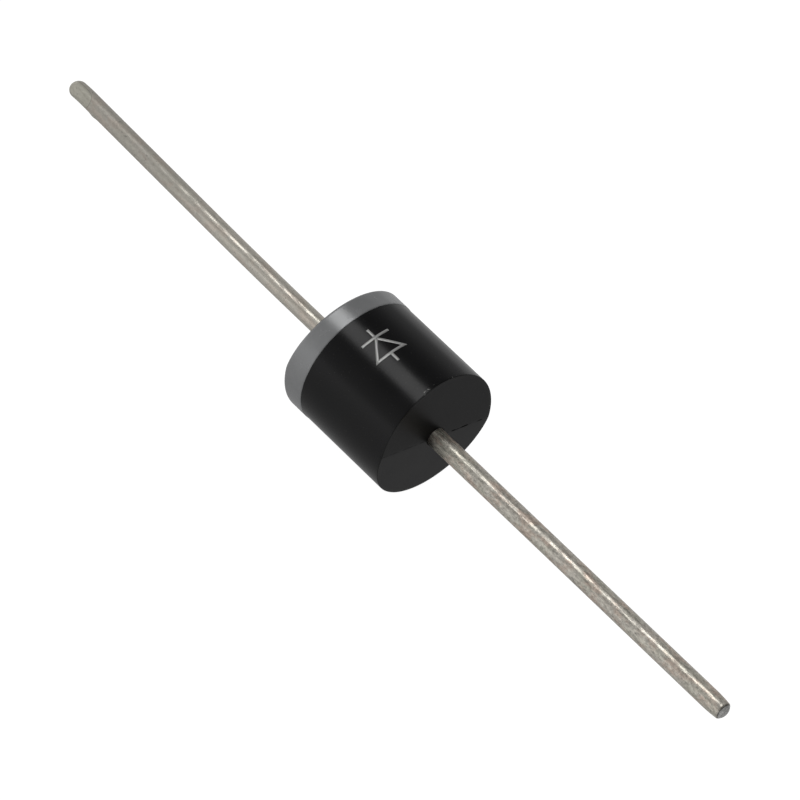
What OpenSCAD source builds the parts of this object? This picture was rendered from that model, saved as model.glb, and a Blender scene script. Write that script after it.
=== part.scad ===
// Axial rectifier diode: a round moulded case on two stiff tinned wires.
// +X runs along the wires towards the anode, +Z is up, and the mould parts on the plane Z = 0.
// The origin is the middle of the case, which is also the middle of the chip.

/* [Case] */
// Diameter of the moulded case
case_d = 9.1; // [8.6:0.05:9.6]
// Length of the case over the ridges of its two end faces
case_len = 9.1; // [8.6:0.05:9.6]
// Mould draft that slopes each end face away from its ridge, in degrees
end_draft = 4.5; // [0:0.25:7]
// Width of the bevel that the mould leaves round each rim
rim_bevel = 0.1; // [0.02:0.01:0.3]

/* [Cathode band] */
// Distance from the ridge of the cathode's end face to the inner edge of the band
band_w = 1.7; // [1:0.05:3]
// Thickness of the band's ink on the case
ink_t = 0.03; // [0.02:0.01:0.1]

/* [Wires] */
// Diameter of the tinned wire
wire_d = 1.29; // [1.2:0.01:1.32]
// Length of the anode wire outside the case
anode_len = 26.3; // [20:0.05:32]
// Length of the cathode wire outside the case, along the wire
cathode_len = 27.3; // [22:0.05:32]
// Thickness of the nail head that each wire ends in, inside the case
head_t = 0.8; // [0.5:0.05:1.2]
// How far a nail head reaches past the corners of the chip
head_margin = 0.03; // [0.01:0.01:0.4]
// Diameter of the upset neck where it leaves the nail head
neck_d = 2.4; // [1.6:0.1:2.8]

/* [Bend of the cathode wire] */
// Straight wire between the case and the bend
bend_start = 3.5; // [1:0.1:6]
// Length of wire that the gentle bend takes
bend_run = 9; // [4:0.5:12]
// Angle of the bend, in degrees
bend_angle = 1.1; // [0.6:0.1:6]
// Side that the bent wire leans to, from +Y towards +Z, in degrees
bend_side = 46; // [0:1:360]

/* [Cut ends of the wires] */
// Length over which the anode wire narrows towards its end
anode_taper = 1.5; // [0.8:0.1:2]
// How much its radius narrows there
anode_drop = 0.13; // [0.02:0.01:0.25]
// Radius of its domed cut face
anode_dome = 0.7; // [0.55:0.01:3]
// Length over which the cathode wire narrows towards its end
cathode_taper = 1.7; // [0.8:0.1:2.5]
// How much its radius narrows there
cathode_drop = 0.1; // [0.02:0.01:0.25]
// Radius of its domed cut face
cathode_dome = 0.6; // [0.55:0.01:3]
// Length of the flat that a cutter pinched into the cathode wire's end
pinch_len = 2.5; // [1:0.1:4]
// Depth of that flat at the very end
pinch_depth = 0.16; // [0.02:0.01:0.3]
// Side of the wire that the flat is on, from +Y towards +Z, in degrees
pinch_side = 160; // [0:1:360]

/* [Junction] */
// Width of the square silicon chip
chip_w = 2.8; // [2.2:0.1:3.4]
// Thickness of the chip
chip_t = 0.3; // [0.2:0.01:0.4]
// Bare edge of the chip round the solder on each face
solder_edge = 0.1; // [0.02:0.01:0.4]
// Thickness of the solder between the chip and each nail head
solder_t = 0.06; // [0.03:0.01:0.1]
// Radius of the coating's bead round the edges of the nail heads
bead_r = 0.36; // [0.33:0.01:0.6]

/* [Hidden] */
$fn = 96;

// A piece built on the anode's side reaches towards +X, and one on the cathode's side towards -X.
ANODE = 1;
CATHODE = -1;
// Longer than the case every way, for solids that only cut
reach = case_len + case_d;

wire_r = wire_d / 2;
half_len = case_len / 2;
head_r = chip_w / sqrt(2) + head_margin;
solder_r = chip_w / 2 - solder_edge;
// Inner face of a nail head and the start of its neck, measured from the middle of the chip
head_face = chip_t / 2 + solder_t;
neck_start = head_face + head_t;
// The neck narrows on an arc that runs out into the wire at the case's end face.
neck_len = half_len - neck_start;
neck_arc = (pow(neck_len, 2) + pow(neck_d / 2 - wire_r, 2)) / (neck_d - wire_d);
// Radius of the bend, at the middle of the wire
bend_r = bend_run * 180 / (PI * bend_angle);
// Steps round the bend's whole circle that leave about four along the bend itself
bend_steps = 4 * 360 / bend_angle;
// Straight cathode wire after the bend, and how far it runs back into the bend to join it
cathode_run = cathode_len - bend_start - bend_run;
wire_lap = 0.002;
// Angle by which the bend runs back into the straight wire before it
bend_lap = 0.00025;

// Turns a piece made along +Z to lie along the wires. Its +X side then faces down on the
// anode's side and up on the cathode's side.
module along(side) {
    rotate([0, 90 * side, 0]) children();
}

// The space behind one sloping end face, which starts from the ridge and tilts to one side of it.
// A cone that narrows to face_r at that face bevels the rim, and inset moves the face inwards.
module behind_face(side, tilt, inset, face_r) {
    translate([side * (half_len - inset), 0, 0])
        rotate([0, tilt * end_draft, 0])
            along(side)
                translate([0, 0, -reach]) cylinder(h = reach, r1 = face_r + reach, r2 = face_r);
}

// What lies between the two roof-shaped ends.
module between_ends(inset, face_r) {
    intersection() {
        children();
        behind_face(ANODE, 1, inset, face_r);
        behind_face(ANODE, -1, inset, face_r);
        behind_face(CATHODE, 1, inset, face_r);
        behind_face(CATHODE, -1, inset, face_r);
    }
}

// Half outline of a nail head, its curved neck and the wire up to one distance from the chip's middle
module headed_outline(stop) {
    translate([0, head_face]) square([head_r, head_t]);
    difference() {
        translate([0, neck_start]) square([neck_d / 2, neck_len]);
        translate([wire_r + neck_arc, half_len]) circle(r = neck_arc);
    }
    translate([0, head_face]) square([wire_r, stop - head_face]);
}

// Both nail heads with their wires up to the same distance
module headed_outlines(stop) {
    headed_outline(stop);
    mirror([0, 1]) headed_outline(stop);
}

// Half outline of a cut wire end: an arc narrows it, and a dome closes it.
module cut_end(taper, drop, dome) {
    taper_arc = (pow(taper, 2) + pow(drop, 2)) / (2 * drop);
    intersection() {
        square([wire_d, taper]);
        translate([wire_r - taper_arc, 0]) circle(r = taper_arc);
        union() {
            translate([0, taper - dome]) circle(r = dome);
            translate([0, taper - dome - reach]) square([wire_d, reach]);
        }
    }
}

// The bent stretch of the cathode wire, from the origin towards +Z and leaning to +X
module bend() {
    rotate([90, 0, 0])
        translate([bend_r, 0, 0])
            rotate_extrude(angle = bend_angle + bend_lap, start = 180 - bend_angle, $fn = bend_steps)
                translate([bend_r, 0]) circle(r = wire_r, $fn = 96);
}

// Carries what follows the bend to the bend's far end.
module past_bend() {
    translate([bend_r * (1 - cos(bend_angle)), 0, bend_r * sin(bend_angle)])
        rotate([0, bend_angle, 0])
            children();
}

// What the cutter pressed away at the end of a wire of one length, on its +X side
module pinch(length) {
    translate([wire_r, 0, length - pinch_len])
        rotate([0, -atan(pinch_depth / pinch_len), 0])
            translate([0, -wire_d, 0]) cube([wire_d, 2 * wire_d, 2 * pinch_len]);
}

// Half outline of the room between and round the nail heads, with the coating's bead at its edge
module bead_outline() {
    translate([0, -head_face]) square([head_r, 2 * head_face]);
    intersection() {
        translate([head_r, 0]) circle(r = bead_r);
        translate([0, -bead_r]) square([head_r + bead_r, 2 * bead_r]);
    }
}

module epoxy_body() {
    color("#26272a") difference() {
        between_ends(0, case_d / 2 - rim_bevel)
            along(ANODE) cylinder(h = reach, d = case_d, center = true);
        along(ANODE) rotate_extrude() {
            headed_outlines(reach);
            bead_outline();
        }
    }
}

module cathode_band() {
    edge = half_len - band_w;
    color("#7c7e80") between_ends(rim_bevel, case_d)
        along(CATHODE) translate([0, 0, edge]) difference() {
            cylinder(h = reach, r = case_d / 2 + ink_t);
            translate([0, 0, -reach]) cylinder(h = 3 * reach, d = case_d);
        }
}

module anode_lead() {
    taper_start = half_len + anode_len - anode_taper;
    color("#9a978d") along(ANODE) rotate_extrude() {
        headed_outline(taper_start);
        translate([0, taper_start]) cut_end(anode_taper, anode_drop, anode_dome);
    }
}

module cathode_lead() {
    taper_start = cathode_run - cathode_taper;
    color("#9a978d") along(CATHODE) rotate([0, 0, 90 - bend_side]) {
        rotate_extrude() headed_outline(half_len + bend_start);
        translate([0, 0, half_len + bend_start]) {
            bend();
            past_bend() difference() {
                rotate_extrude() {
                    translate([0, -wire_lap]) square([wire_r, taper_start + wire_lap]);
                    translate([0, taper_start]) cut_end(cathode_taper, cathode_drop, cathode_dome);
                }
                rotate([0, 0, bend_side - pinch_side]) pinch(cathode_run);
            }
        }
    }
}

module silicon_chip() {
    color("#5b6270") cube([chip_t, chip_w, chip_w], center = true);
}

module solder(side) {
    color("#b9bcc0") along(side)
        translate([0, 0, chip_t / 2]) cylinder(h = solder_t, r = solder_r);
}

module anode_solder() {
    solder(ANODE);
}

module cathode_solder() {
    solder(CATHODE);
}

module junction_coating() {
    color("#e9e4d8") difference() {
        along(ANODE) rotate_extrude() difference() {
            bead_outline();
            headed_outlines(reach);
            translate([0, -reach]) square([solder_r, 2 * reach]);
        }
        silicon_chip();
    }
}

epoxy_body();
cathode_band();
anode_lead();
cathode_lead();
silicon_chip();
anode_solder();
cathode_solder();
junction_coating();
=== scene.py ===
"""Looks of an axial rectifier diode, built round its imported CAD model.

Lengths are in metres and the frame is the part's own: +X runs along the wires towards the anode,
+Z is up, and the mould parts on the plane Z = 0.
"""

import math

import bpy
import numpy as np
from bpy.props import FloatProperty, FloatVectorProperty, PointerProperty
from mathutils import Matrix, Vector


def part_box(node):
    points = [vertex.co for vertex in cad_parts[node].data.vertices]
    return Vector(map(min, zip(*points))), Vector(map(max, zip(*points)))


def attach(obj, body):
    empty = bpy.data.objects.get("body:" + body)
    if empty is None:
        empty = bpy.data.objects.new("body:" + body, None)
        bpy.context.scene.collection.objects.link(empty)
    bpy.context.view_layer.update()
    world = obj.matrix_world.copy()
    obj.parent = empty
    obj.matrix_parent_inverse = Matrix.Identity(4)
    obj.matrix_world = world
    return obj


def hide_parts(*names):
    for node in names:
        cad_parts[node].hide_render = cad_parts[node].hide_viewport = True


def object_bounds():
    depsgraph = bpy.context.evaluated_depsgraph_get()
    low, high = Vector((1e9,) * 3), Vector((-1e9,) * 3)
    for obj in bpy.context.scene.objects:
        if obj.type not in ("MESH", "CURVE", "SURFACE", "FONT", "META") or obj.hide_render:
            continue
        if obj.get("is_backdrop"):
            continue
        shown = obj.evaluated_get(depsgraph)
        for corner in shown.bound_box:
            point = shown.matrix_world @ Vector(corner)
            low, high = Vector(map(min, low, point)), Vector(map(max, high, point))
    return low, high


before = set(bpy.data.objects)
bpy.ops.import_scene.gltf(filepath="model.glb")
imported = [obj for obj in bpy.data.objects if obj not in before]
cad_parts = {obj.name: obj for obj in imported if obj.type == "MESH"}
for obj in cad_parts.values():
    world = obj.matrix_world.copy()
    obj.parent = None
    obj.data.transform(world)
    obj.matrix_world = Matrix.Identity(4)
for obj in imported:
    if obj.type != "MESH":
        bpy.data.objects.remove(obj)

bl_info = {
    "name": "Axial Rectifier Diode",
    "version": (1, 0, 0),
    "blender": (4, 5, 0),
    "location": "3D View > Sidebar > Diode",
    "description": "Dresses an axial rectifier diode and sets its stage",
    "category": "Add Mesh",
}

MM = 0.001
CAD_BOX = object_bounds()
CASE_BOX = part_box("epoxy_body")
BAND_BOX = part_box("cathode_band")
ANODE_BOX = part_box("anode_lead")

CASE_RADIUS = CASE_BOX[1].z
HALF_LENGTH = CASE_BOX[1].x
INK_RADIUS = BAND_BOX[1].z
BAND_EDGE = BAND_BOX[1].x
HEAD_FACE = ANODE_BOX[0].x
HEAD_RADIUS = ANODE_BOX[1].z
ANODE_TIP = ANODE_BOX[1].x
CATHODE_TIP = CAD_BOX[0].x
# Unit vector along the wires, towards the anode
FORWARD = np.array([1.0, 0, 0])


# --- Sizes, colours and light that a user would change -----------------------------------------


class CaseSizes(bpy.types.PropertyGroup):
    """Sizes of the moulded case that its CAD box doesn't give"""

    end_draft: FloatProperty(
        name="End draft",
        description="Angle by which each half of an end face slopes away from its ridge",
        default=math.radians(4.5),
        min=0,
        max=math.radians(8),
        subtype="ANGLE",
    )
    rim_round: FloatProperty(
        name="Rim round",
        description="Radius of the round between an end face and the side",
        default=0.03 * MM,
        min=0.02 * MM,
        max=0.4 * MM,
        precision=5,
        unit="LENGTH",
    )
    bead_radius: FloatProperty(
        name="Bead radius",
        description="Radius of the coating's bead round the nail heads, which the case is moulded on",
        default=0.36 * MM,
        precision=5,
        unit="LENGTH",
    )


class WireSizes(bpy.types.PropertyGroup):
    """Sizes of the nail-headed wires"""

    radius: FloatProperty(
        name="Wire radius",
        description="Radius of the tinned wire",
        default=0.645 * MM,
        precision=6,
        unit="LENGTH",
    )
    head_thickness: FloatProperty(
        name="Head thickness",
        description="Thickness of the nail head inside the case",
        default=0.8 * MM,
        precision=5,
        unit="LENGTH",
    )
    neck_radius: FloatProperty(
        name="Neck radius",
        description="Radius of the neck where it leaves the nail head",
        default=1.2 * MM,
        precision=5,
        unit="LENGTH",
    )
    anode_taper: FloatProperty(
        name="Anode taper",
        description="Length over which the anode wire narrows to its cut end",
        default=1.5 * MM,
        precision=5,
        unit="LENGTH",
    )
    anode_drop: FloatProperty(
        name="Anode drop",
        description="How much the anode wire's radius narrows there",
        default=0.1 * MM,
        precision=5,
        unit="LENGTH",
    )
    anode_dome: FloatProperty(
        name="Anode dome",
        description="Radius of the anode wire's domed cut face",
        default=0.75 * MM,
        precision=5,
        unit="LENGTH",
    )
    cathode_length: FloatProperty(
        name="Cathode length",
        description="Length of the cathode wire outside the case",
        default=27.3 * MM,
        precision=5,
        unit="LENGTH",
    )
    cathode_taper: FloatProperty(
        name="Cathode taper",
        description="Length over which the cathode wire narrows to its cut end",
        default=1.7 * MM,
        precision=5,
        unit="LENGTH",
    )
    cathode_drop: FloatProperty(
        name="Cathode drop",
        description="How much the cathode wire's radius narrows there",
        default=0.1 * MM,
        precision=5,
        unit="LENGTH",
    )
    cathode_dome: FloatProperty(
        name="Cathode dome",
        description="Radius of the cathode wire's domed cut face",
        default=0.6 * MM,
        precision=5,
        unit="LENGTH",
    )
    bend_start: FloatProperty(
        name="Bend start",
        description="Straight wire between the case and the bend",
        default=3.5 * MM,
        precision=5,
        unit="LENGTH",
    )
    bend_run: FloatProperty(
        name="Bend run",
        description="Length of wire that the bend takes",
        default=9 * MM,
        precision=5,
        unit="LENGTH",
    )
    bend_angle: FloatProperty(
        name="Bend angle",
        description="Angle of the bend",
        default=math.radians(1.1),
        subtype="ANGLE",
    )
    bend_side: FloatProperty(
        name="Bend side",
        description="Side that the bent wire leans to, from +Y towards +Z",
        default=math.radians(46),
        subtype="ANGLE",
    )
    pinch_length: FloatProperty(
        name="Pinch length",
        description="Length of the flat that a cutter pressed into the cathode wire's end",
        default=2.5 * MM,
        precision=5,
        unit="LENGTH",
    )
    pinch_depth: FloatProperty(
        name="Pinch depth",
        description="Depth of that flat at the very end",
        default=0.16 * MM,
        precision=5,
        unit="LENGTH",
    )
    pinch_side: FloatProperty(
        name="Pinch side",
        description="Side of the wire that the flat is on, from +Y towards +Z",
        default=math.radians(160),
        subtype="ANGLE",
    )
    burr_height: FloatProperty(
        name="Burr height",
        description="How far the metal that the cutter squeezed out stands proud beside the flat",
        default=0.045 * MM,
        precision=6,
        unit="LENGTH",
    )
    tip_push: FloatProperty(
        name="Tip push",
        description="How far the cutter pushed the cathode wire's tip to one side",
        default=0.08 * MM,
        precision=6,
        unit="LENGTH",
    )
    push_side: FloatProperty(
        name="Push side",
        description="Side that the tip was pushed to, from +Y towards +Z",
        default=math.radians(226),
        subtype="ANGLE",
    )


class SymbolSizes(bpy.types.PropertyGroup):
    """Sizes of the polarity symbol printed on the case"""

    side: FloatProperty(
        name="Side",
        description="Side of the case that the symbol is on, from +Y towards +Z",
        default=math.radians(112),
        subtype="ANGLE",
    )
    middle: FloatProperty(
        name="Middle",
        description="Distance of the symbol's middle from the inner edge of the band",
        default=2.6 * MM,
        precision=5,
        unit="LENGTH",
    )
    width: FloatProperty(
        name="Width",
        description="Width of the triangle's base and of the bar, round the case",
        default=2.1 * MM,
        precision=5,
        unit="LENGTH",
    )
    height: FloatProperty(
        name="Height",
        description="Distance from the triangle's base to the bar",
        default=1.5 * MM,
        precision=5,
        unit="LENGTH",
    )
    stub: FloatProperty(
        name="Stub",
        description="Length of the line that leaves the symbol at each end",
        default=0.75 * MM,
        precision=5,
        unit="LENGTH",
    )
    stroke: FloatProperty(
        name="Stroke",
        description="Width of the printed lines",
        default=0.19 * MM,
        precision=5,
        unit="LENGTH",
    )
    ink: FloatProperty(
        name="Ink",
        description="Thickness of the ink on the case",
        default=0.012 * MM,
        precision=6,
        unit="LENGTH",
    )


class FinishColours(bpy.types.PropertyGroup):
    """Colours of the finishes, in linear light"""

    moulding: FloatVectorProperty(
        name="Moulding compound",
        description="Black of the moulded case",
        default=(0.0045, 0.0045, 0.005),
        subtype="COLOR",
        min=0,
        max=1,
    )
    band: FloatVectorProperty(
        name="Band ink",
        description="Grey of the printed band",
        default=(0.35, 0.355, 0.36),
        subtype="COLOR",
        min=0,
        max=1,
    )
    symbol: FloatVectorProperty(
        name="Symbol ink",
        description="Light grey of the printed symbol",
        default=(0.5, 0.5, 0.49),
        subtype="COLOR",
        min=0,
        max=1,
    )
    tin: FloatVectorProperty(
        name="Tin",
        description="Clean tin plating",
        default=(0.745, 0.705, 0.625),
        subtype="COLOR",
        min=0,
        max=1,
    )
    olive: FloatVectorProperty(
        name="Olive tin",
        description="Tin that has tarnished towards olive",
        default=(0.71, 0.685, 0.585),
        subtype="COLOR",
        min=0,
        max=1,
    )
    brown: FloatVectorProperty(
        name="Brown tin",
        description="Tin that has tarnished towards a pinkish brown",
        default=(0.765, 0.635, 0.535),
        subtype="COLOR",
        min=0,
        max=1,
    )
    cut: FloatVectorProperty(
        name="Cut face",
        description="Metal on the face that a cutter left at the end of the anode wire",
        default=(0.92, 0.915, 0.89),
        subtype="COLOR",
        min=0,
        max=1,
    )


class StageSizes(bpy.types.PropertyGroup):
    """Camera and light"""

    azimuth: FloatProperty(
        name="Azimuth",
        description="Turn of the camera round the diode",
        default=math.radians(35.961),
        subtype="ANGLE",
    )
    elevation: FloatProperty(
        name="Elevation",
        description="Height of the camera above the horizon, as an angle",
        default=math.radians(38.21),
        subtype="ANGLE",
    )
    roll: FloatProperty(
        name="Roll",
        description="Turn of the camera about its own line of sight",
        default=math.radians(19.459),
        subtype="ANGLE",
    )
    distance: FloatProperty(
        name="Distance",
        description="Distance from the camera to the middle of the case",
        default=311.75 * MM,
        precision=4,
        unit="LENGTH",
    )
    aim_right: FloatProperty(
        name="Aim right",
        description="How far the camera aims to the right of the middle of the case",
        default=0.746 * MM,
        precision=6,
        unit="LENGTH",
    )
    aim_down: FloatProperty(
        name="Aim down",
        description="How far the camera aims below the middle of the case",
        default=0.524 * MM,
        precision=6,
        unit="LENGTH",
    )
    lens: FloatProperty(
        name="Lens",
        description="Focal length in millimetres, on a sensor 36 mm wide",
        default=228.96,
    )
    key_side: FloatProperty(
        name="Key side",
        description="Side of the diode that the soft key light is on, from +Y towards +Z",
        default=math.radians(104.2),
        subtype="ANGLE",
    )
    key_lean: FloatProperty(
        name="Key lean",
        description="Angle by which the key light leans over the cathode wire",
        default=math.radians(15),
        subtype="ANGLE",
    )
    key_distance: FloatProperty(
        name="Key distance",
        description="Distance of the key light from the middle of the case",
        default=600 * MM,
        precision=3,
        unit="LENGTH",
    )
    key_width: FloatProperty(
        name="Key width",
        description="Width of the soft key light, across the wires",
        default=255 * MM,
        precision=3,
        unit="LENGTH",
    )
    key_depth: FloatProperty(
        name="Key depth",
        description="Size of the soft key light along the wires",
        default=460 * MM,
        precision=3,
        unit="LENGTH",
    )
    key_power: FloatProperty(
        name="Key power",
        description="Power of the soft key light, in watts",
        default=1.0,
    )
    floor_reach: FloatProperty(
        name="Floor reach",
        description="Distance from the diode to each side of the floor",
        default=1.5,
        unit="LENGTH",
    )
    floor_glow: FloatProperty(
        name="Floor glow",
        description="Brightness of the floor, which is lit from below",
        default=1.0,
    )
    room_glow: FloatProperty(
        name="Room glow",
        description="Brightness of the room round the table, as a share of its ramp's shades",
        default=1.9,
    )


# --- Surfaces ----------------------------------------------------------------------------------


def direction(angle):
    """Unit vectors across the wires, at angles from +Y towards +Z."""
    angle = np.asarray(angle, float)
    return np.stack([np.zeros_like(angle), np.cos(angle), np.sin(angle)], -1)


def mesh_object(name, points, faces, cut=None):
    """A smooth mesh object at the origin. The faces are turned round where the signed volume that
    they enclose, a sixth of the sum of each triangle's triple product, is negative. The cut share
    of each point, where it is given, becomes an attribute that the tin's finish reads."""
    flat = [np.asarray(f) for f in faces]
    tris = np.concatenate([f[:, [0, i, i + 1]] for f in flat for i in range(1, f.shape[1] - 1)])
    a, b, c = (points[tris[:, i]] for i in range(3))
    if np.einsum("ij,ij->i", a, np.cross(b, c)).sum() < 0:
        flat = [f[:, ::-1] for f in flat]
    mesh = bpy.data.meshes.new(name)
    mesh.from_pydata(points.tolist(), [], [row for f in flat for row in f.tolist()])
    mesh.polygons.foreach_set("use_smooth", np.ones(len(mesh.polygons), bool))
    if cut is not None:
        mesh.attributes.new("cut", "FLOAT", "POINT").data.foreach_set("value", cut)
    mesh.update()
    found = bpy.data.objects.new(name, mesh)
    bpy.context.scene.collection.objects.link(found)
    return found


def ring_faces(rows, columns, loop):
    """Quads between neighbouring rows of a grid whose columns close on themselves, and between
    its last and first row too where it is a loop."""
    r = np.arange(rows if loop else rows - 1)[:, None]
    c = np.arange(columns)[None]
    beside = (c + 1) % columns
    here, after = r * columns, (r + 1) % rows * columns
    return np.stack([here + c, here + beside, after + beside, after + c], -1).reshape(-1, 4)


def ring_surface(name, grid):
    """A closed ring from a grid of rows by columns: both directions close on themselves."""
    rows, columns = grid.shape[:2]
    return mesh_object(name, grid.reshape(-1, 3), [ring_faces(rows, columns, True)])


def capped_surface(name, grid, cut, start, end):
    """A closed tube from a grid of rows by columns, with its first row drawn in to the point
    start and its last row to the point end by fans of triangles. The cut share is given for each
    row or point of the grid, and is 0 at start and 1 at end."""
    rows, columns = grid.shape[:2]
    c = np.arange(columns)
    beside = (c + 1) % columns
    last_row = (rows - 1) * columns
    first_fan = np.stack([np.full(columns, rows * columns), beside, c], -1)
    last_fan = np.stack([np.full(columns, rows * columns + 1), last_row + c, last_row + beside], -1)
    fans = np.concatenate([first_fan, last_fan])
    points = np.concatenate([grid.reshape(-1, 3), [start, end]])
    shares = np.concatenate([np.broadcast_to(cut, (rows, columns)).ravel(), [0, 1]])
    return mesh_object(name, points, [ring_faces(rows, columns, False), fans], shares)


def stations(*stops):
    """Positions between stops given as position, count, position, count ... position, with each
    stretch divided evenly by its count."""
    places, counts = stops[::2], stops[1::2]
    parts = [np.linspace(a, b, n, endpoint=False) for a, b, n in zip(places[:-1], places[1:], counts)]
    return np.concatenate(parts + [[places[-1]]])


def neck_outline(wire, steps):
    """Distances from the chip and radii of a neck: an arc that starts at the neck's radius on the
    nail head and runs out along the wire at the case's end."""
    start = HEAD_FACE + wire.head_thickness
    run = HALF_LENGTH - start
    fall = wire.neck_radius - wire.radius
    arc = (run**2 + fall**2) / (2 * fall)
    along = np.linspace(start, HALF_LENGTH, steps)
    return along, wire.radius + arc - np.sqrt(arc**2 - (HALF_LENGTH - along) ** 2)


def face_slope(r, angle, draft):
    """How far an end face lies behind its ridge, at radii and angles from the parting plane: the
    height off that plane times the draft's tangent, with the ridge itself rounded as a hyperbola."""
    ridge_round = 0.15 * MM
    return (np.hypot(r * np.sin(angle), ridge_round) - ridge_round) * math.tan(draft)


def case_grid(case, wire):
    """The case's skin and its pocket for what it is moulded round, as one closed outline carried
    round the X axis. Each row has a share k, an offset x0 and a radius r, and lies at
    x = k (half length - the face's slope at r) + x0, so the end faces slope away from the parting
    plane, the side runs between them, and the pocket, with k = 0, doesn't slope. The skin dips a
    little where it meets the wire, and the columns stand closer beside the parting plane."""
    dip_width, dip_depth = 0.1 * MM, 0.05 * MM
    strip = 0.012
    rim = case.rim_round
    turn = np.linspace(0, math.pi / 2, 9)
    face_r = stations(wire.radius, 3, wire.radius + dip_width, 18, CASE_RADIUS - rim)
    end_r = np.concatenate([face_r, CASE_RADIUS - rim + rim * np.sin(turn[1:])])
    end_depth = np.concatenate([np.zeros_like(face_r), rim * (1 - np.cos(turn[1:]))])
    end_depth[0] = dip_depth
    share = np.linspace(1, -1, 41)[1:-1]
    head_back = HEAD_FACE + wire.head_thickness
    bead = np.linspace(math.pi / 2, 0, 9)
    neck_x, neck_r = neck_outline(wire, 12)
    pocket_x = np.concatenate([case.bead_radius * np.cos(bead), [head_back], neck_x[:-1]])
    pocket_r = np.concatenate([HEAD_RADIUS + case.bead_radius * np.sin(bead), [HEAD_RADIUS], neck_r[:-1]])
    anode_end = np.stack([np.ones_like(end_r), -end_depth, end_r], -1)
    side = np.stack([share, -share * rim, np.full_like(share, CASE_RADIUS)], -1)
    cathode_end = (anode_end * [-1, -1, 1])[::-1]
    anode_pocket = np.stack([np.zeros_like(pocket_x), pocket_x, pocket_r], -1)
    cathode_pocket = (anode_pocket * [1, -1, 1])[::-1]
    rows = np.concatenate([anode_end, side, cathode_end, cathode_pocket, anode_pocket[1:]])
    half_turn = stations(0, 2, strip, 126, math.pi - strip, 2, math.pi)[:-1]
    angle = np.concatenate([half_turn, half_turn + math.pi])
    k, x0, r = (rows[:, i, None] for i in range(3))
    x = k * (HALF_LENGTH - face_slope(r, angle, case.end_draft)) + x0
    return r[..., None] * direction(angle)[None] + x[..., None] * FORWARD


def band_grid(case):
    """The band's ink as a closed outline carried round the case. It starts by the rim's round, ends
    on its own circle, thins as a square root to nothing at both edges, and closes just under the
    case's skin. The inner edge wavers by a sum of sines whose periods divide the circle."""
    thinning = 0.06
    sunk = 0.01 * MM
    waves = ((7, 0.4, 0.005 * MM), (19, 2.1, 0.004 * MM), (43, 1.2, 0.003 * MM))
    angle = np.linspace(0, 2 * math.pi, 257)[:-1]
    outer = face_slope(CASE_RADIUS, angle, case.end_draft) + 0.8 * case.rim_round - HALF_LENGTH
    inner = BAND_EDGE + sum(np.sin(count * angle + phase) * size for count, phase, size in waves)
    share = np.concatenate([[0, 0.02, 0.06], np.linspace(0.1, 0.9, 17), [0.96, 0.99, 1]])
    thick = np.sqrt(np.clip(np.minimum(share, 1 - share) / thinning, 0, 1)) * (INK_RADIUS - CASE_RADIUS)
    under = np.array([0.95, 0.5, 0.05])
    rows = np.concatenate([share, under])
    lift = np.concatenate([thick, np.full_like(under, -sunk)])
    x = outer[None] + rows[:, None] * (inner - outer)[None]
    return (CASE_RADIUS + lift)[:, None, None] * direction(angle)[None] + x[..., None] * FORWARD


def cut_radius(along, end, taper, drop, dome, radius):
    """Radius of a wire near its cut end: an arc narrows it by drop over the taper, and a dome
    closes it, so the radius is the smaller of the two."""
    t = np.clip(along - (end - taper), 0, taper)
    arc = (taper**2 + drop**2) / (2 * drop)
    narrowed = radius - arc + np.sqrt(arc**2 - t**2)
    over = np.clip(along - (end - dome), 0, dome)
    return np.minimum(narrowed, np.sqrt(np.clip(dome**2 - over**2, 0, None)))


def headed_rows(wire, end, taper, drop, dome):
    """Distances from the chip and radii of a whole wire: the nail head with its edges broken, the
    neck, the wire, its taper, and a dome whose rows are spaced evenly by their angle on it."""
    broken = 0.03 * MM
    head_back = HEAD_FACE + wire.head_thickness
    head = [
        (HEAD_FACE, HEAD_RADIUS / 2),
        (HEAD_FACE, HEAD_RADIUS - broken),
        (HEAD_FACE + broken, HEAD_RADIUS),
        (head_back - broken, HEAD_RADIUS),
        (head_back, HEAD_RADIUS - broken),
        (head_back, wire.neck_radius + broken),
    ]
    head_x, head_r = np.array(head).T
    neck_x, neck_r = neck_outline(wire, 16)
    spread = math.asin((wire.radius - drop) / dome)
    cap_x = end - dome + dome * np.cos(np.linspace(spread, 0, 37))
    outside = stations(HALF_LENGTH, 150, end - 2 * taper, 50, end - taper, 30, cap_x[0])
    wire_x = np.concatenate([outside[1:-1], cap_x[:-1]])
    wire_r = cut_radius(wire_x, end, taper, drop, dome, wire.radius)
    return np.concatenate([head_x, neck_x, wire_x]), np.concatenate([head_r, neck_r, wire_r])


def anode_grid(wire):
    """The straight wire: circles whose radius follows the outline along +X. The cut share rises
    from 0 where the dome starts to 1 where it has narrowed by a short step."""
    step = 0.06 * MM
    along, r = headed_rows(wire, ANODE_TIP, wire.anode_taper, wire.anode_drop, wire.anode_dome)
    angle = np.linspace(0, 2 * math.pi, 97)[:-1]
    grid = r[:, None, None] * direction(angle)[None] + along[:, None, None] * FORWARD
    face_r = wire.radius - wire.anode_drop
    cut = np.where(along > HALF_LENGTH, np.clip((face_r - r) / step, 0, 1), 0)
    return grid, cut[:, None], np.array([HEAD_FACE, 0, 0]), np.array([ANODE_TIP, 0, 0])


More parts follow.
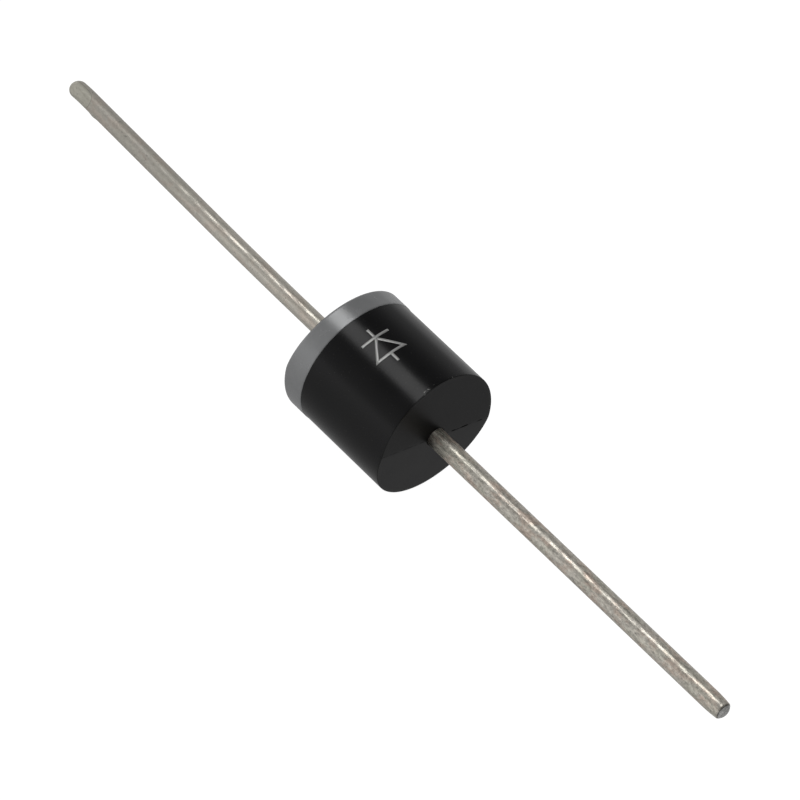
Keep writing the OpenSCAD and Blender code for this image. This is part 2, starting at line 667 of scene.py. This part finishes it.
def bent_line(wire, along):
    """Middle of the cathode wire and its angle from -X, at distances along it from the chip. The
    angle grows evenly over the bend, so there the middle lies on a circle, and past it on the
    circle's tangent."""
    start, full = HALF_LENGTH + wire.bend_start, wire.bend_angle
    bend_radius = wire.bend_run / full
    past = np.clip(along - start - wire.bend_run, 0, None)
    angle = np.clip(along - start, 0, wire.bend_run) / bend_radius
    reach = np.minimum(along, start) + bend_radius * np.sin(angle) + past * math.cos(full)
    lean = bend_radius * (1 - np.cos(angle)) + past * math.sin(full)
    return -reach[:, None] * FORWARD + lean[:, None] * direction(wire.bend_side), angle


def turn_from(side, angle):
    """Angles round a wire measured from one side of it, between minus and plus half a turn."""
    return np.angle(np.exp(1j * (angle - side)))


def cathode_grid(wire):
    """The bent wire: circles across its bent middle line, pressed flat near the end where the
    radius would pass a sloping plane, raised by a bell-shaped burr where the flat begins, and
    pushed to one side over the taper by the square of the way along it. The cut share is 1 on the
    tongue that the cutter pressed, and falls to 0 where the sixth power of the way back from the
    end and the square of the way round from the flat add up to 1."""
    burr_back, burr_length = 2.75 * MM, 0.3 * MM
    burr_turn, burr_width = math.radians(65), 0.5
    tongue_length, tongue_turn = 0.92 * wire.pinch_length, math.radians(67)
    tongue_edge = 8
    end = HALF_LENGTH + wire.cathode_length
    along, r = headed_rows(wire, end, wire.cathode_taper, wire.cathode_drop, wire.cathode_dome)
    angle = np.linspace(0, 2 * math.pi, 97)[:-1]
    middle, tilt = bent_line(wire, along)
    lean, flank = direction(wire.bend_side), direction(wire.bend_side + math.pi / 2)
    leaning = (np.cos(tilt)[:, None] * lean + np.sin(tilt)[:, None] * FORWARD)[:, None]
    round_wire = (angle - wire.bend_side)[None, :, None]
    across = np.cos(round_wire) * leaning + np.sin(round_wire) * flank
    pressed = wire.radius - wire.pinch_depth * (along - (end - wire.pinch_length)) / wire.pinch_length
    # The least cosine keeps the plane off the sides and the back of the wire.
    facing = np.maximum(np.cos(angle - wire.pinch_side), 0.05)
    burr_along = ((along - end + burr_back) / burr_length)[:, None]
    burr_round = (turn_from(wire.pinch_side + burr_turn, angle) / burr_width)[None]
    burr = wire.burr_height * np.exp(-(burr_along**2) - burr_round**2)
    radius = np.minimum(r[:, None], pressed[:, None] / facing) + burr
    pushed = wire.tip_push * np.clip((along - end) / wire.cathode_taper + 1, 0, 1) ** 2
    grid = middle[:, None] + radius[..., None] * across + pushed[:, None, None] * direction(wire.push_side)
    back = np.clip((end - along) / tongue_length, 0, 2)[:, None]
    away = turn_from(wire.pinch_side, angle)[None] / tongue_turn
    cut = np.clip(tongue_edge * (1 - back**6 - away**2), 0, 1)
    tip, _ = bent_line(wire, np.array([end]))
    return grid, cut, np.array([-HEAD_FACE, 0, 0]), tip[0] + wire.tip_push * direction(wire.push_side)


def finely(path, closed):
    """A path with each stretch divided into short pieces of about a twentieth of a millimetre."""
    path = [np.array(p, float) for p in path]
    pairs = zip(path, path[1:] + path[:1]) if closed else zip(path[:-1], path[1:])
    parts = []
    for a, b in pairs:
        count = max(2, int(np.linalg.norm(b - a) / (0.05 * MM)))
        parts.append(np.linspace(a, b, count, endpoint=False))
    return np.concatenate(parts if closed else parts + [path[-1][None]])


def stroke_grid(path, width, closed):
    """A printed line: a strip of even width along a path in the flattened case, with its corners
    mitred. Its cross-section is a low closed outline of five points. Each comes with its height,
    as a share of the ink's thickness, and the last lies as far under the case's skin."""
    before, after = np.roll(path, 1, 0), np.roll(path, -1, 0)
    if not closed:
        before[0], after[-1] = 2 * path[0] - path[1], 2 * path[-1] - path[-2]
    into = (path - before) / np.linalg.norm(path - before, axis=1)[:, None]
    out = (after - path) / np.linalg.norm(after - path, axis=1)[:, None]
    normal = np.stack([-into[:, 1] - out[:, 1], into[:, 0] + out[:, 0]], -1)
    normal /= np.linalg.norm(normal, axis=1)[:, None]
    mitre = 1 / np.einsum("ij,ij->i", normal, np.stack([-out[:, 1], out[:, 0]], -1))
    place = np.array([-0.5, -0.42, 0.42, 0.5, 0]) * width
    height = np.array([0, 1, 1, 0, -1.0])
    flat = path[:, None] + place[None, :, None] * (normal * mitre[:, None])[:, None]
    return flat, np.broadcast_to(height, flat.shape[:2])


def symbol_surface(name, sizes):
    """The diode symbol: a triangle that points to the band, a bar across its point, and a short
    line out of each end. Its lines are drawn in the flattened case, as places along the wires and
    round the case, and a place round the case, over the case's radius, is an angle on it."""
    middle = BAND_EDGE + sizes.middle
    base, bar = middle + sizes.height / 2, middle - sizes.height / 2
    half, gap = sizes.width / 2, sizes.stroke / 2
    paths = [
        ([(base, -half), (base, half), (bar + gap, 0)], True),
        ([(bar, -half), (bar, half)], False),
        ([(base + gap, 0), (base + sizes.stub, 0)], False),
        ([(bar - sizes.stub, 0), (bar - gap, 0)], False),
    ]
    points, faces, start = [], [], 0
    for path, closed in paths:
        flat, height = stroke_grid(finely(path, closed), sizes.stroke, closed)
        rows, columns = flat.shape[:2]
        r = CASE_RADIUS + height * sizes.ink
        across = r[..., None] * direction(sizes.side - flat[..., 1] / CASE_RADIUS)
        points.append((across + flat[..., :1] * FORWARD).reshape(-1, 3))
        first_row = np.arange(columns)[None]
        ends = [] if closed else [first_row[:, ::-1], (rows - 1) * columns + first_row]
        faces += [f + start for f in [ring_faces(rows, columns, closed), *ends]]
        start += rows * columns
    return mesh_object(name, np.concatenate(points), faces)


# --- Finishes ----------------------------------------------------------------------------------


class Value:
    """A number that varies over a surface. Plain arithmetic on it adds Math nodes."""

    def __init__(self, shading, socket):
        self.shading, self.socket = shading, socket

    def math(self, operation, *values):
        """The outcome of a Math node's operation on one or two values"""
        return self.shading.node("ShaderNodeMath", {"operation": operation}, *values)

    def __add__(self, other):
        return self.math("ADD", self, other)

    def __radd__(self, other):
        return self.math("ADD", other, self)

    def __sub__(self, other):
        return self.math("SUBTRACT", self, other)

    def __rsub__(self, other):
        return self.math("SUBTRACT", other, self)

    def __mul__(self, other):
        return self.math("MULTIPLY", self, other)

    def __rmul__(self, other):
        return self.math("MULTIPLY", other, self)

    def __abs__(self):
        return self.math("ABSOLUTE", self)

    def between(self, low, high):
        """0 below low and 1 above high, with a smooth rise between them"""
        smooth = {"interpolation_type": "SMOOTHSTEP"}
        return self.shading.node("ShaderNodeMapRange", smooth, self, low, high, 0, 1)


class Shading:
    """A tree of shader nodes under construction."""

    def __init__(self, tree):
        self.tree = tree

    def join(self, socket, value):
        """Links a socket to a value that varies, or sets it to a number, a vector or a colour"""
        if isinstance(value, Value):
            self.tree.links.new(value.socket, socket)
        elif hasattr(value, "__len__") and len(value) == 3 and socket.type == "RGBA":
            socket.default_value = (*value, 1)
        else:
            socket.default_value = value

    def node(self, kind, settings, *values, out=0, **named):
        """One node of any kind: its settings first, then its sockets in order, by name, or by
        number after a _. A ramp's stops are pairs of a position and a colour. It is given back as
        the output whose name or number is out."""
        made = self.tree.nodes.new(kind)
        for key, value in settings.items():
            if key == "stops":
                ramp = made.color_ramp
                while len(ramp.elements) < len(value):
                    ramp.elements.new(1)
                for element, (position, colour) in zip(ramp.elements, value):
                    element.position = position
                    element.color = (*colour, 1)
            else:
                setattr(made, key, value)
        for socket, value in zip(made.inputs, values):
            self.join(socket, value)
        for key, value in named.items():
            self.join(made.inputs[int(key[1:]) if key[:1] == "_" else key], value)
        return Value(self, made.outputs[out])

    def split(self, vector):
        """The three numbers of a vector"""
        return [self.node("ShaderNodeSeparateXYZ", {}, vector, out=i) for i in range(3)]


class Finish(Shading):
    """A material under construction, with its patterns in millimetres of the part's own frame."""

    def __init__(self, name, **sockets):
        self.material = bpy.data.materials.new(name)
        self.material.use_nodes = True
        super().__init__(self.material.node_tree)
        self.shader = self.tree.nodes["Principled BSDF"]
        self.set(**sockets)
        place = self.node("ShaderNodeTexCoord", {}, out="Object")
        self.place = self.node("ShaderNodeVectorMath", {"operation": "SCALE"}, place, Scale=1000)

    def set(self, **sockets):
        """Gives the main shader's sockets their values or links, with _ for a space in a name"""
        for name, value in sockets.items():
            self.join(self.shader.inputs[name.replace("_", " ")], value)

    def axes(self):
        """The place on the part, as three numbers in millimetres"""
        return self.split(self.place)

    def stretched(self, x, y, z):
        """The place on the part with its axes scaled, for a pattern that runs along one of them"""
        return self.node("ShaderNodeVectorMath", {"operation": "MULTIPLY"}, self.place, (x, y, z))

    def towards(self, side):
        """How far a place lies out on one side of the wires, in millimetres, with the side in
        degrees from +Y towards +Z"""
        outwards = tuple(direction(math.radians(side)))
        return self.node("ShaderNodeVectorMath", {"operation": "DOT_PRODUCT"}, self.place, outwards, out=1)

    def noise(self, scale, detail=2.0, roughness=0.5, place=None):
        """Noise from 0 to 1 whose features are about 1/scale millimetres"""
        sockets = {"Scale": scale, "Detail": detail, "Roughness": roughness}
        return self.node("ShaderNodeTexNoise", {}, Vector=place or self.place, **sockets)

    def blend(self, share, first, second):
        """A colour between two others"""
        return self.node("ShaderNodeMix", {"data_type": "RGBA"}, _0=share, _6=first, _7=second, out=2)

    def scaled(self, colour, factor):
        """A colour made lighter or darker"""
        return self.node("ShaderNodeVectorMath", {"operation": "SCALE"}, colour, Scale=factor)

    def bump(self, height, micrometres):
        """A normal for a height whose 1 is some micrometres"""
        return self.node("ShaderNodeBump", {}, Height=height, Strength=1.0, Distance=micrometres * 1e-6)


def moulding_finish(colours):
    """Black moulding compound: fine mould grain, a cloudy sheen, pale filler specks, small chips
    along the top of the rim at the anode's end, end faces duller than the side, and a groove in
    each of them where the mould halves meet, blacked out by painted shade, broken in places and
    faint on one side."""
    f = Finish("moulding_compound", Specular_IOR_Level=0.25)
    x, y, z = f.axes()
    half, radius = HALF_LENGTH / MM, CASE_RADIUS / MM
    off_axis = f.node("ShaderNodeVectorMath", {"operation": "LENGTH"}, f.stretched(0, 1, 1), out=1)
    cloud = f.noise(0.5, 3)
    grain = f.noise(14, 3)
    patchy = f.noise(1.1, 2).between(0.44, 0.56)
    groove = (1 - abs(z).between(0.03, 0.08)) * abs(x).between(half - 0.25, half - 0.15)
    # Painted shade: the groove where the mould halves meet is blacked out, broken in places and fainter on
    # one side.
    groove_and_painted_shade = groove * patchy * (0.25 + 0.75 * y.between(0.6, 1.4))
    top = f.towards(102.7).between(radius - 0.3, radius - 0.15) * x.between(half - 0.55, half - 0.45)
    chips = off_axis.between(radius - 0.08, radius - 0.05) * top * f.noise(5, 1).between(0.64, 0.68)
    specks = f.noise(22, 0).between(0.83, 0.86)
    base = f.blend(cloud, colours.moulding, [c * 1.5 for c in colours.moulding])
    base = f.blend(specks * 0.5, base, (0.2, 0.2, 0.19))
    base = f.blend(chips, base, (0.25, 0.25, 0.24))
    # Painted shade: black in the parting groove.
    base = f.blend(groove_and_painted_shade, base, (0, 0, 0))
    within_rim = 1 - off_axis.between(radius - 0.25, radius - 0.05)
    matt = within_rim * abs(x).between(half - 0.55, half - 0.45)
    rough = 0.15 + 0.1 * cloud + 0.05 * grain + 0.12 * matt + 0.5 * groove_and_painted_shade
    # The groove's metal share over black is painted shade too: it takes away the groove's reflection.
    f.set(Base_Color=base, Metallic=groove_and_painted_shade, Roughness=rough, Normal=f.bump(0.25 * grain - 10 * groove_and_painted_shade, 1))
    return f.material


def ink_finish(name, colour, cloudiness):
    """Printed ink: even, with cloudy patches and a slight orange peel."""
    f = Finish(name, Specular_IOR_Level=0.5, Metallic=0.25)
    cloud = f.noise(1.3, 4, 0.6)
    peel = f.noise(9, 2)
    base = f.blend(cloud, [c * (1 - cloudiness) for c in colour], [c * (1 + cloudiness) for c in colour])
    f.set(Base_Color=base, Roughness=0.2 + 0.12 * cloud, Normal=f.bump(peel, 0.8))
    return f.material


def tin_finish(colours):
    """Dull tin on a drawn wire: olive and brown tarnish in patches, a fine grain and small pits,
    with more tarnish and grain on the anode wire. It shines only in streaks along the wire, so a
    highlight on it is thin and broken, and it is darker and duller towards the cathode wire's end.
    Painted shade darkens one side of the anode wire's root, in place of the dark case's shadow and
    reflection. The attribute cut is 1 where a cutter left its mark, inside a dark edge of painted
    shade, and the anode's cut face is pale, with faint specks and a painted highlight on one side."""
    f = Finish("tinned_copper")
    x = f.axes()[0]
    half, end = HALF_LENGTH / MM, CATHODE_TIP / MM
    cut = f.node("ShaderNodeAttribute", {"attribute_name": "cut"}, out=2)
    anode = x.between(-half, half)
    far = 1 - x.between(end + 7.85, end + 16.85)
    tip = 1 - x.between(end + 0.05, end + 0.4)

    olive = f.noise(0.9, 3, 0.6, f.stretched(0.5, 1, 1)).between(0.45, 0.6)
    brown = f.noise(1.4, 4, 0.65, f.stretched(0.45, 1.2, 1.2)).between(0.46, 0.64)
    grain = f.noise(7, 4, 0.75, f.stretched(0.55, 1, 1))
    speck = f.noise(15, 2, 0.7).between(0.4, 0.6)
    streak = f.noise(4, 3, 0.6, f.stretched(0.25, 1.4, 1.4)).between(0.3, 0.62)
    streak = streak * (1 - cut) * (1 - 0.75 * far) * x.between(end + 1.95, end + 2.85)
    pits = 1 - f.noise(6, 1, 0.5, f.stretched(0.7, 1, 1)).between(0.24, 0.3)

    base = f.blend(olive * (0.35 + 0.4 * anode), colours.tin, colours.olive)
    base = f.blend(brown * (0.4 + 0.55 * anode), base, colours.brown)
    base = f.blend(cut, base, f.blend(anode, colours.olive, colours.cut))

    root = 1 - abs(x).between(half + 0.05, half + 1.15)
    # Painted shade: one side of the anode wire's root is darkened in place of the dark case's shadow and
    # reflection.
    painted_root_shade = root * f.towards(224.6).between(-0.1, 0.5) * anode
    # Painted shade: a dark line along the edge of each cut, darkest on one side of the anode's.
    edge = 4 * cut * (1 - cut) * (0.35 + 0.45 * anode * f.towards(134.8).between(-0.25, 0.25))
    # Painted highlight: one side of the anode's cut face is lightened where its dome catches the light.
    painted_lip_highlight = f.towards(44.8).between(0.3, 0.45) * cut * anode
    shade = (1 + (grain - 0.5) * (0.8 + 1.6 * anode)) * (1 - 0.35 * pits)
    # Painted shade at the anode wire's root and along the cut edges darkens the tin here.
    shade = shade * (1 - edge) * (1 - 0.3 * tip) * (1 - 0.85 * painted_root_shade) * (1 - 0.17 * far)
    # Painted highlight on one side of the anode's cut face.
    shade = shade * (1 - 0.35 * cut * anode * speck) * (1 + 0.35 * painted_lip_highlight) * (1 + 0.1 * cut)

    rough = 0.45 - 0.2 * streak
    bump = f.bump(grain * 0.5 - pits, 1.8)
    f.set(Base_Color=f.scaled(base, shade), Metallic=0.12 + 0.4 * streak, Roughness=rough, Normal=bump)
    return f.material


def chip_finish():
    """Sawn and polished silicon."""
    f = Finish("silicon", Metallic=0.6)
    saw = f.noise(40, 1, 0.5, f.stretched(1, 0.02, 1))
    f.set(Base_Color=f.blend(saw, (0.1, 0.11, 0.14), (0.16, 0.17, 0.21)), Roughness=0.18 + 0.1 * saw)
    return f.material


def solder_finish():
    """Satin solder with a slightly frosted skin."""
    f = Finish("solder", Metallic=1.0)
    frost = f.noise(6, 4, 0.6)
    base = f.blend(frost, (0.5, 0.51, 0.53), (0.62, 0.63, 0.65))
    f.set(Base_Color=base, Roughness=0.3 + 0.2 * frost, Normal=f.bump(frost, 2))
    return f.material


def coating_finish():
    """Soft white silicone with faint swirls."""
    f = Finish("silicone_coating", Specular_IOR_Level=0.4)
    swirl = f.noise(2.5, 3, 0.6)
    base = f.blend(swirl, (0.72, 0.69, 0.61), (0.85, 0.83, 0.77))
    f.set(Base_Color=base, Roughness=0.55 + 0.1 * swirl, Normal=f.bump(swirl, 3))
    return f.material


def dress(piece, material, slot, *nodes):
    """Gives a new piece its finish and its body, and hides the CAD nodes that it stands for. Its slot is
    not used.
    """
    piece.data.materials.append(material)
    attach(piece, "root")
    if nodes:
        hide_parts(*nodes)


def repaint(node, material):
    """Gives a CAD node that stays its finish."""
    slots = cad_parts[node].data.materials
    slots.clear()
    slots.append(material)


# --- Stage -------------------------------------------------------------------------------------


def floor_surface(sizes):
    """A pale square table under the part, which neither shows in its gloss nor throws light on it."""
    corners = np.array([[-1, -1], [1, -1], [1, 1], [-1, 1]]) * sizes.floor_reach
    points = np.column_stack([corners, np.full(4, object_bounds()[0].z)])
    floor = mesh_object("floor", points, [np.array([[0, 1, 2, 3]])])
    floor.data.materials.append(floor_finish(sizes.floor_glow))
    floor.visible_glossy = False
    floor.visible_diffuse = False
    return floor


def floor_finish(glow):
    """A pale table lit from below, with the faintest paper grain."""
    f = Finish("pale_table", Roughness=0.9, Specular_IOR_Level=0.0, Emission_Strength=glow)
    grain = f.noise(0.4, 3)
    f.set(Base_Color=(0.2, 0.2, 0.2), Emission_Color=f.blend(grain, (0.985, 0.985, 0.985), (1, 1, 1)))
    return f.material


def studio_room(glow):
    """A dim studio: pale round the horizon, darker below the table and almost black overhead, by a
    ramp of greys over the height of a direction. It is dark towards +X, above the table most, and
    a little darker in the corner towards +Y."""
    world = bpy.data.worlds.new("room")
    world.use_nodes = True
    room = Shading(world.node_tree)
    x, y, z = room.split(room.node("ShaderNodeTexCoord", {}, out="Generated"))
    greys = (
        (-0.85, 0.19),
        (-0.5, 0.26),
        (-0.23, 0.34),
        (0.08, 0.47),
        (0.23, 0.27),
        (0.51, 0.2),
        (0.63, 0.149),
        (0.857, 0.07),
    )
    stops = [((height + 1) / 2, (grey, grey, grey)) for height, grey in greys]
    dark = x.between(-0.4, 0.4) * (0.15 + 0.8 * z.between(-0.3, 0.3))
    corner = 0.3 * y.between(0.3, 0.88) * z.between(-0.35, -0.1) * (1 - z.between(0.2, 0.5))
    background = world.node_tree.nodes["Background"].inputs
    room.join(background["Color"], room.node("ShaderNodeValToRGB", {"stops": stops}, 0.5 + 0.5 * z))
    room.join(background["Strength"], glow * (1 - dark) * (1 - corner))
    return world


def key_light(sizes):
    """A rectangular soft light on one side of the diode that leans over the cathode wire. It faces
    the diode, with its depth along the wires and its width across them."""
    light = bpy.data.lights.new("key_light", "AREA")
    light.shape = "RECTANGLE"
    light.size = sizes.key_depth
    light.size_y = sizes.key_width
    light.energy = sizes.key_power
    lean = Vector((-math.sin(sizes.key_lean), 0, 0))
    towards = lean + Vector(direction(sizes.key_side)) * math.cos(sizes.key_lean)
    across = towards.cross(Vector(FORWARD)).normalized()
    turn = Matrix((across.cross(towards), across, towards)).transposed()
    placed = bpy.data.objects.new("key_light", light)
    placed.matrix_world = Matrix.Translation(towards * sizes.key_distance) @ turn.to_4x4()
    bpy.context.scene.collection.objects.link(placed)


def stage_camera(sizes):
    """A camera that looks back along a line from the middle of the case, turned about that line by
    its roll, and moved across it so that it aims a little beside the middle."""
    camera = bpy.data.objects.new("camera", bpy.data.cameras.new("camera"))
    bpy.context.scene.collection.objects.link(camera)
    camera.data.sensor_width = 36
    camera.data.lens = sizes.lens
    camera.data.clip_start = 0.01
    camera.data.clip_end = 10
    level = Vector((math.cos(sizes.azimuth), math.sin(sizes.azimuth), 0))
    outward = level.cross(Vector((0, 0, 1)))
    back = math.cos(sizes.elevation) * outward + math.sin(sizes.elevation) * Vector((0, 0, 1))
    upright = back.cross(level)
    right = math.cos(sizes.roll) * level + math.sin(sizes.roll) * upright
    up = math.cos(sizes.roll) * upright - math.sin(sizes.roll) * level
    place = Matrix((right, up, back)).transposed().to_4x4()
    place.translation = back * sizes.distance + right * sizes.aim_right - up * sizes.aim_down
    camera.matrix_world = place
    return camera


# --- Operators ---------------------------------------------------------------------------------


class DIODE_OT_case(bpy.types.Operator):
    """Build the moulded case, with its drafted ends and the pocket for what it holds"""

    bl_idname = "diode.case"
    bl_label = "Moulded Case"

    def execute(self, context):
        s = context.scene
        case = ring_surface("moulded_case", case_grid(s.diode_case, s.diode_wire))
        dress(case, moulding_finish(s.diode_colours), "moulding_compound", "epoxy_body")
        return {"FINISHED"}


class DIODE_OT_band(bpy.types.Operator):
    """Print the band round the cathode's end of the case"""

    bl_idname = "diode.band"
    bl_label = "Cathode Band"

    def execute(self, context):
        s = context.scene
        band = ring_surface("band_ink", band_grid(s.diode_case))
        dress(band, ink_finish("band_ink", s.diode_colours.band, 0.1), "band_ink", "cathode_band")
        return {"FINISHED"}


class DIODE_OT_symbol(bpy.types.Operator):
    """Print the diode symbol on the case, pointing to the cathode"""

    bl_idname = "diode.symbol"
    bl_label = "Polarity Symbol"

    def execute(self, context):
        s = context.scene
        symbol = symbol_surface("polarity_symbol", s.diode_symbol)
        dress(symbol, ink_finish("symbol_ink", s.diode_colours.symbol, 0.12), "band_ink")
        return {"FINISHED"}


class DIODE_OT_wires(bpy.types.Operator):
    """Build the two nail-headed wires with their cut ends"""

    bl_idname = "diode.wires"
    bl_label = "Wires"

    def execute(self, context):
        s = context.scene
        tin = tin_finish(s.diode_colours)
        anode = capped_surface("anode_wire", *anode_grid(s.diode_wire))
        cathode = capped_surface("cathode_wire", *cathode_grid(s.diode_wire))
        dress(anode, tin, "tinned_copper", "anode_lead")
        dress(cathode, tin, "tinned_copper", "cathode_lead")
        return {"FINISHED"}


class DIODE_OT_junction(bpy.types.Operator):
    """Finish the chip, its solder and its coating inside the case"""

    bl_idname = "diode.junction"
    bl_label = "Junction"

    def execute(self, context):
        solder = solder_finish()
        repaint("silicon_chip", chip_finish())
        repaint("anode_solder", solder)
        repaint("cathode_solder", solder)
        repaint("junction_coating", coating_finish())
        return {"FINISHED"}


class DIODE_OT_stage(bpy.types.Operator):
    """Set the pale floor, the soft light and the camera"""

    bl_idname = "diode.stage"
    bl_label = "Stage"

    def execute(self, context):
        scene = context.scene
        sizes = scene.diode_stage
        floor_surface(sizes)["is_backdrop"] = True
        scene.world = studio_room(sizes.room_glow)
        key_light(sizes)
        scene.camera = stage_camera(sizes)
        scene.view_settings.view_transform = "Standard"
        return {"FINISHED"}


class DIODE_PT_panel(bpy.types.Panel):
    """Buttons that build the diode, piece by piece"""

    bl_idname = "DIODE_PT_panel"
    bl_label = "Axial Rectifier Diode"
    bl_space_type = "VIEW_3D"
    bl_region_type = "UI"
    bl_category = "Diode"

    def draw(self, context):
        column = self.layout.column()
        for operator in OPERATORS:
            column.operator(operator.bl_idname)


GROUPS = {
    "diode_case": CaseSizes,
    "diode_wire": WireSizes,
    "diode_symbol": SymbolSizes,
    "diode_colours": FinishColours,
    "diode_stage": StageSizes,
}
OPERATORS = (
    DIODE_OT_case,
    DIODE_OT_band,
    DIODE_OT_symbol,
    DIODE_OT_wires,
    DIODE_OT_junction,
    DIODE_OT_stage,
)


def register():
    for made in (*GROUPS.values(), *OPERATORS, DIODE_PT_panel):
        bpy.utils.register_class(made)
    for name, group in GROUPS.items():
        setattr(bpy.types.Scene, name, PointerProperty(type=group))


def unregister():
    for name in GROUPS:
        delattr(bpy.types.Scene, name)
    for made in (DIODE_PT_panel, *reversed(OPERATORS), *reversed(GROUPS.values())):
        bpy.utils.unregister_class(made)


def main():
    register()
    bpy.ops.diode.case()
    bpy.ops.diode.band()
    bpy.ops.diode.symbol()
    bpy.ops.diode.wires()
    bpy.ops.diode.junction()
    bpy.ops.diode.stage()


if __name__ == "__main__":
    main()
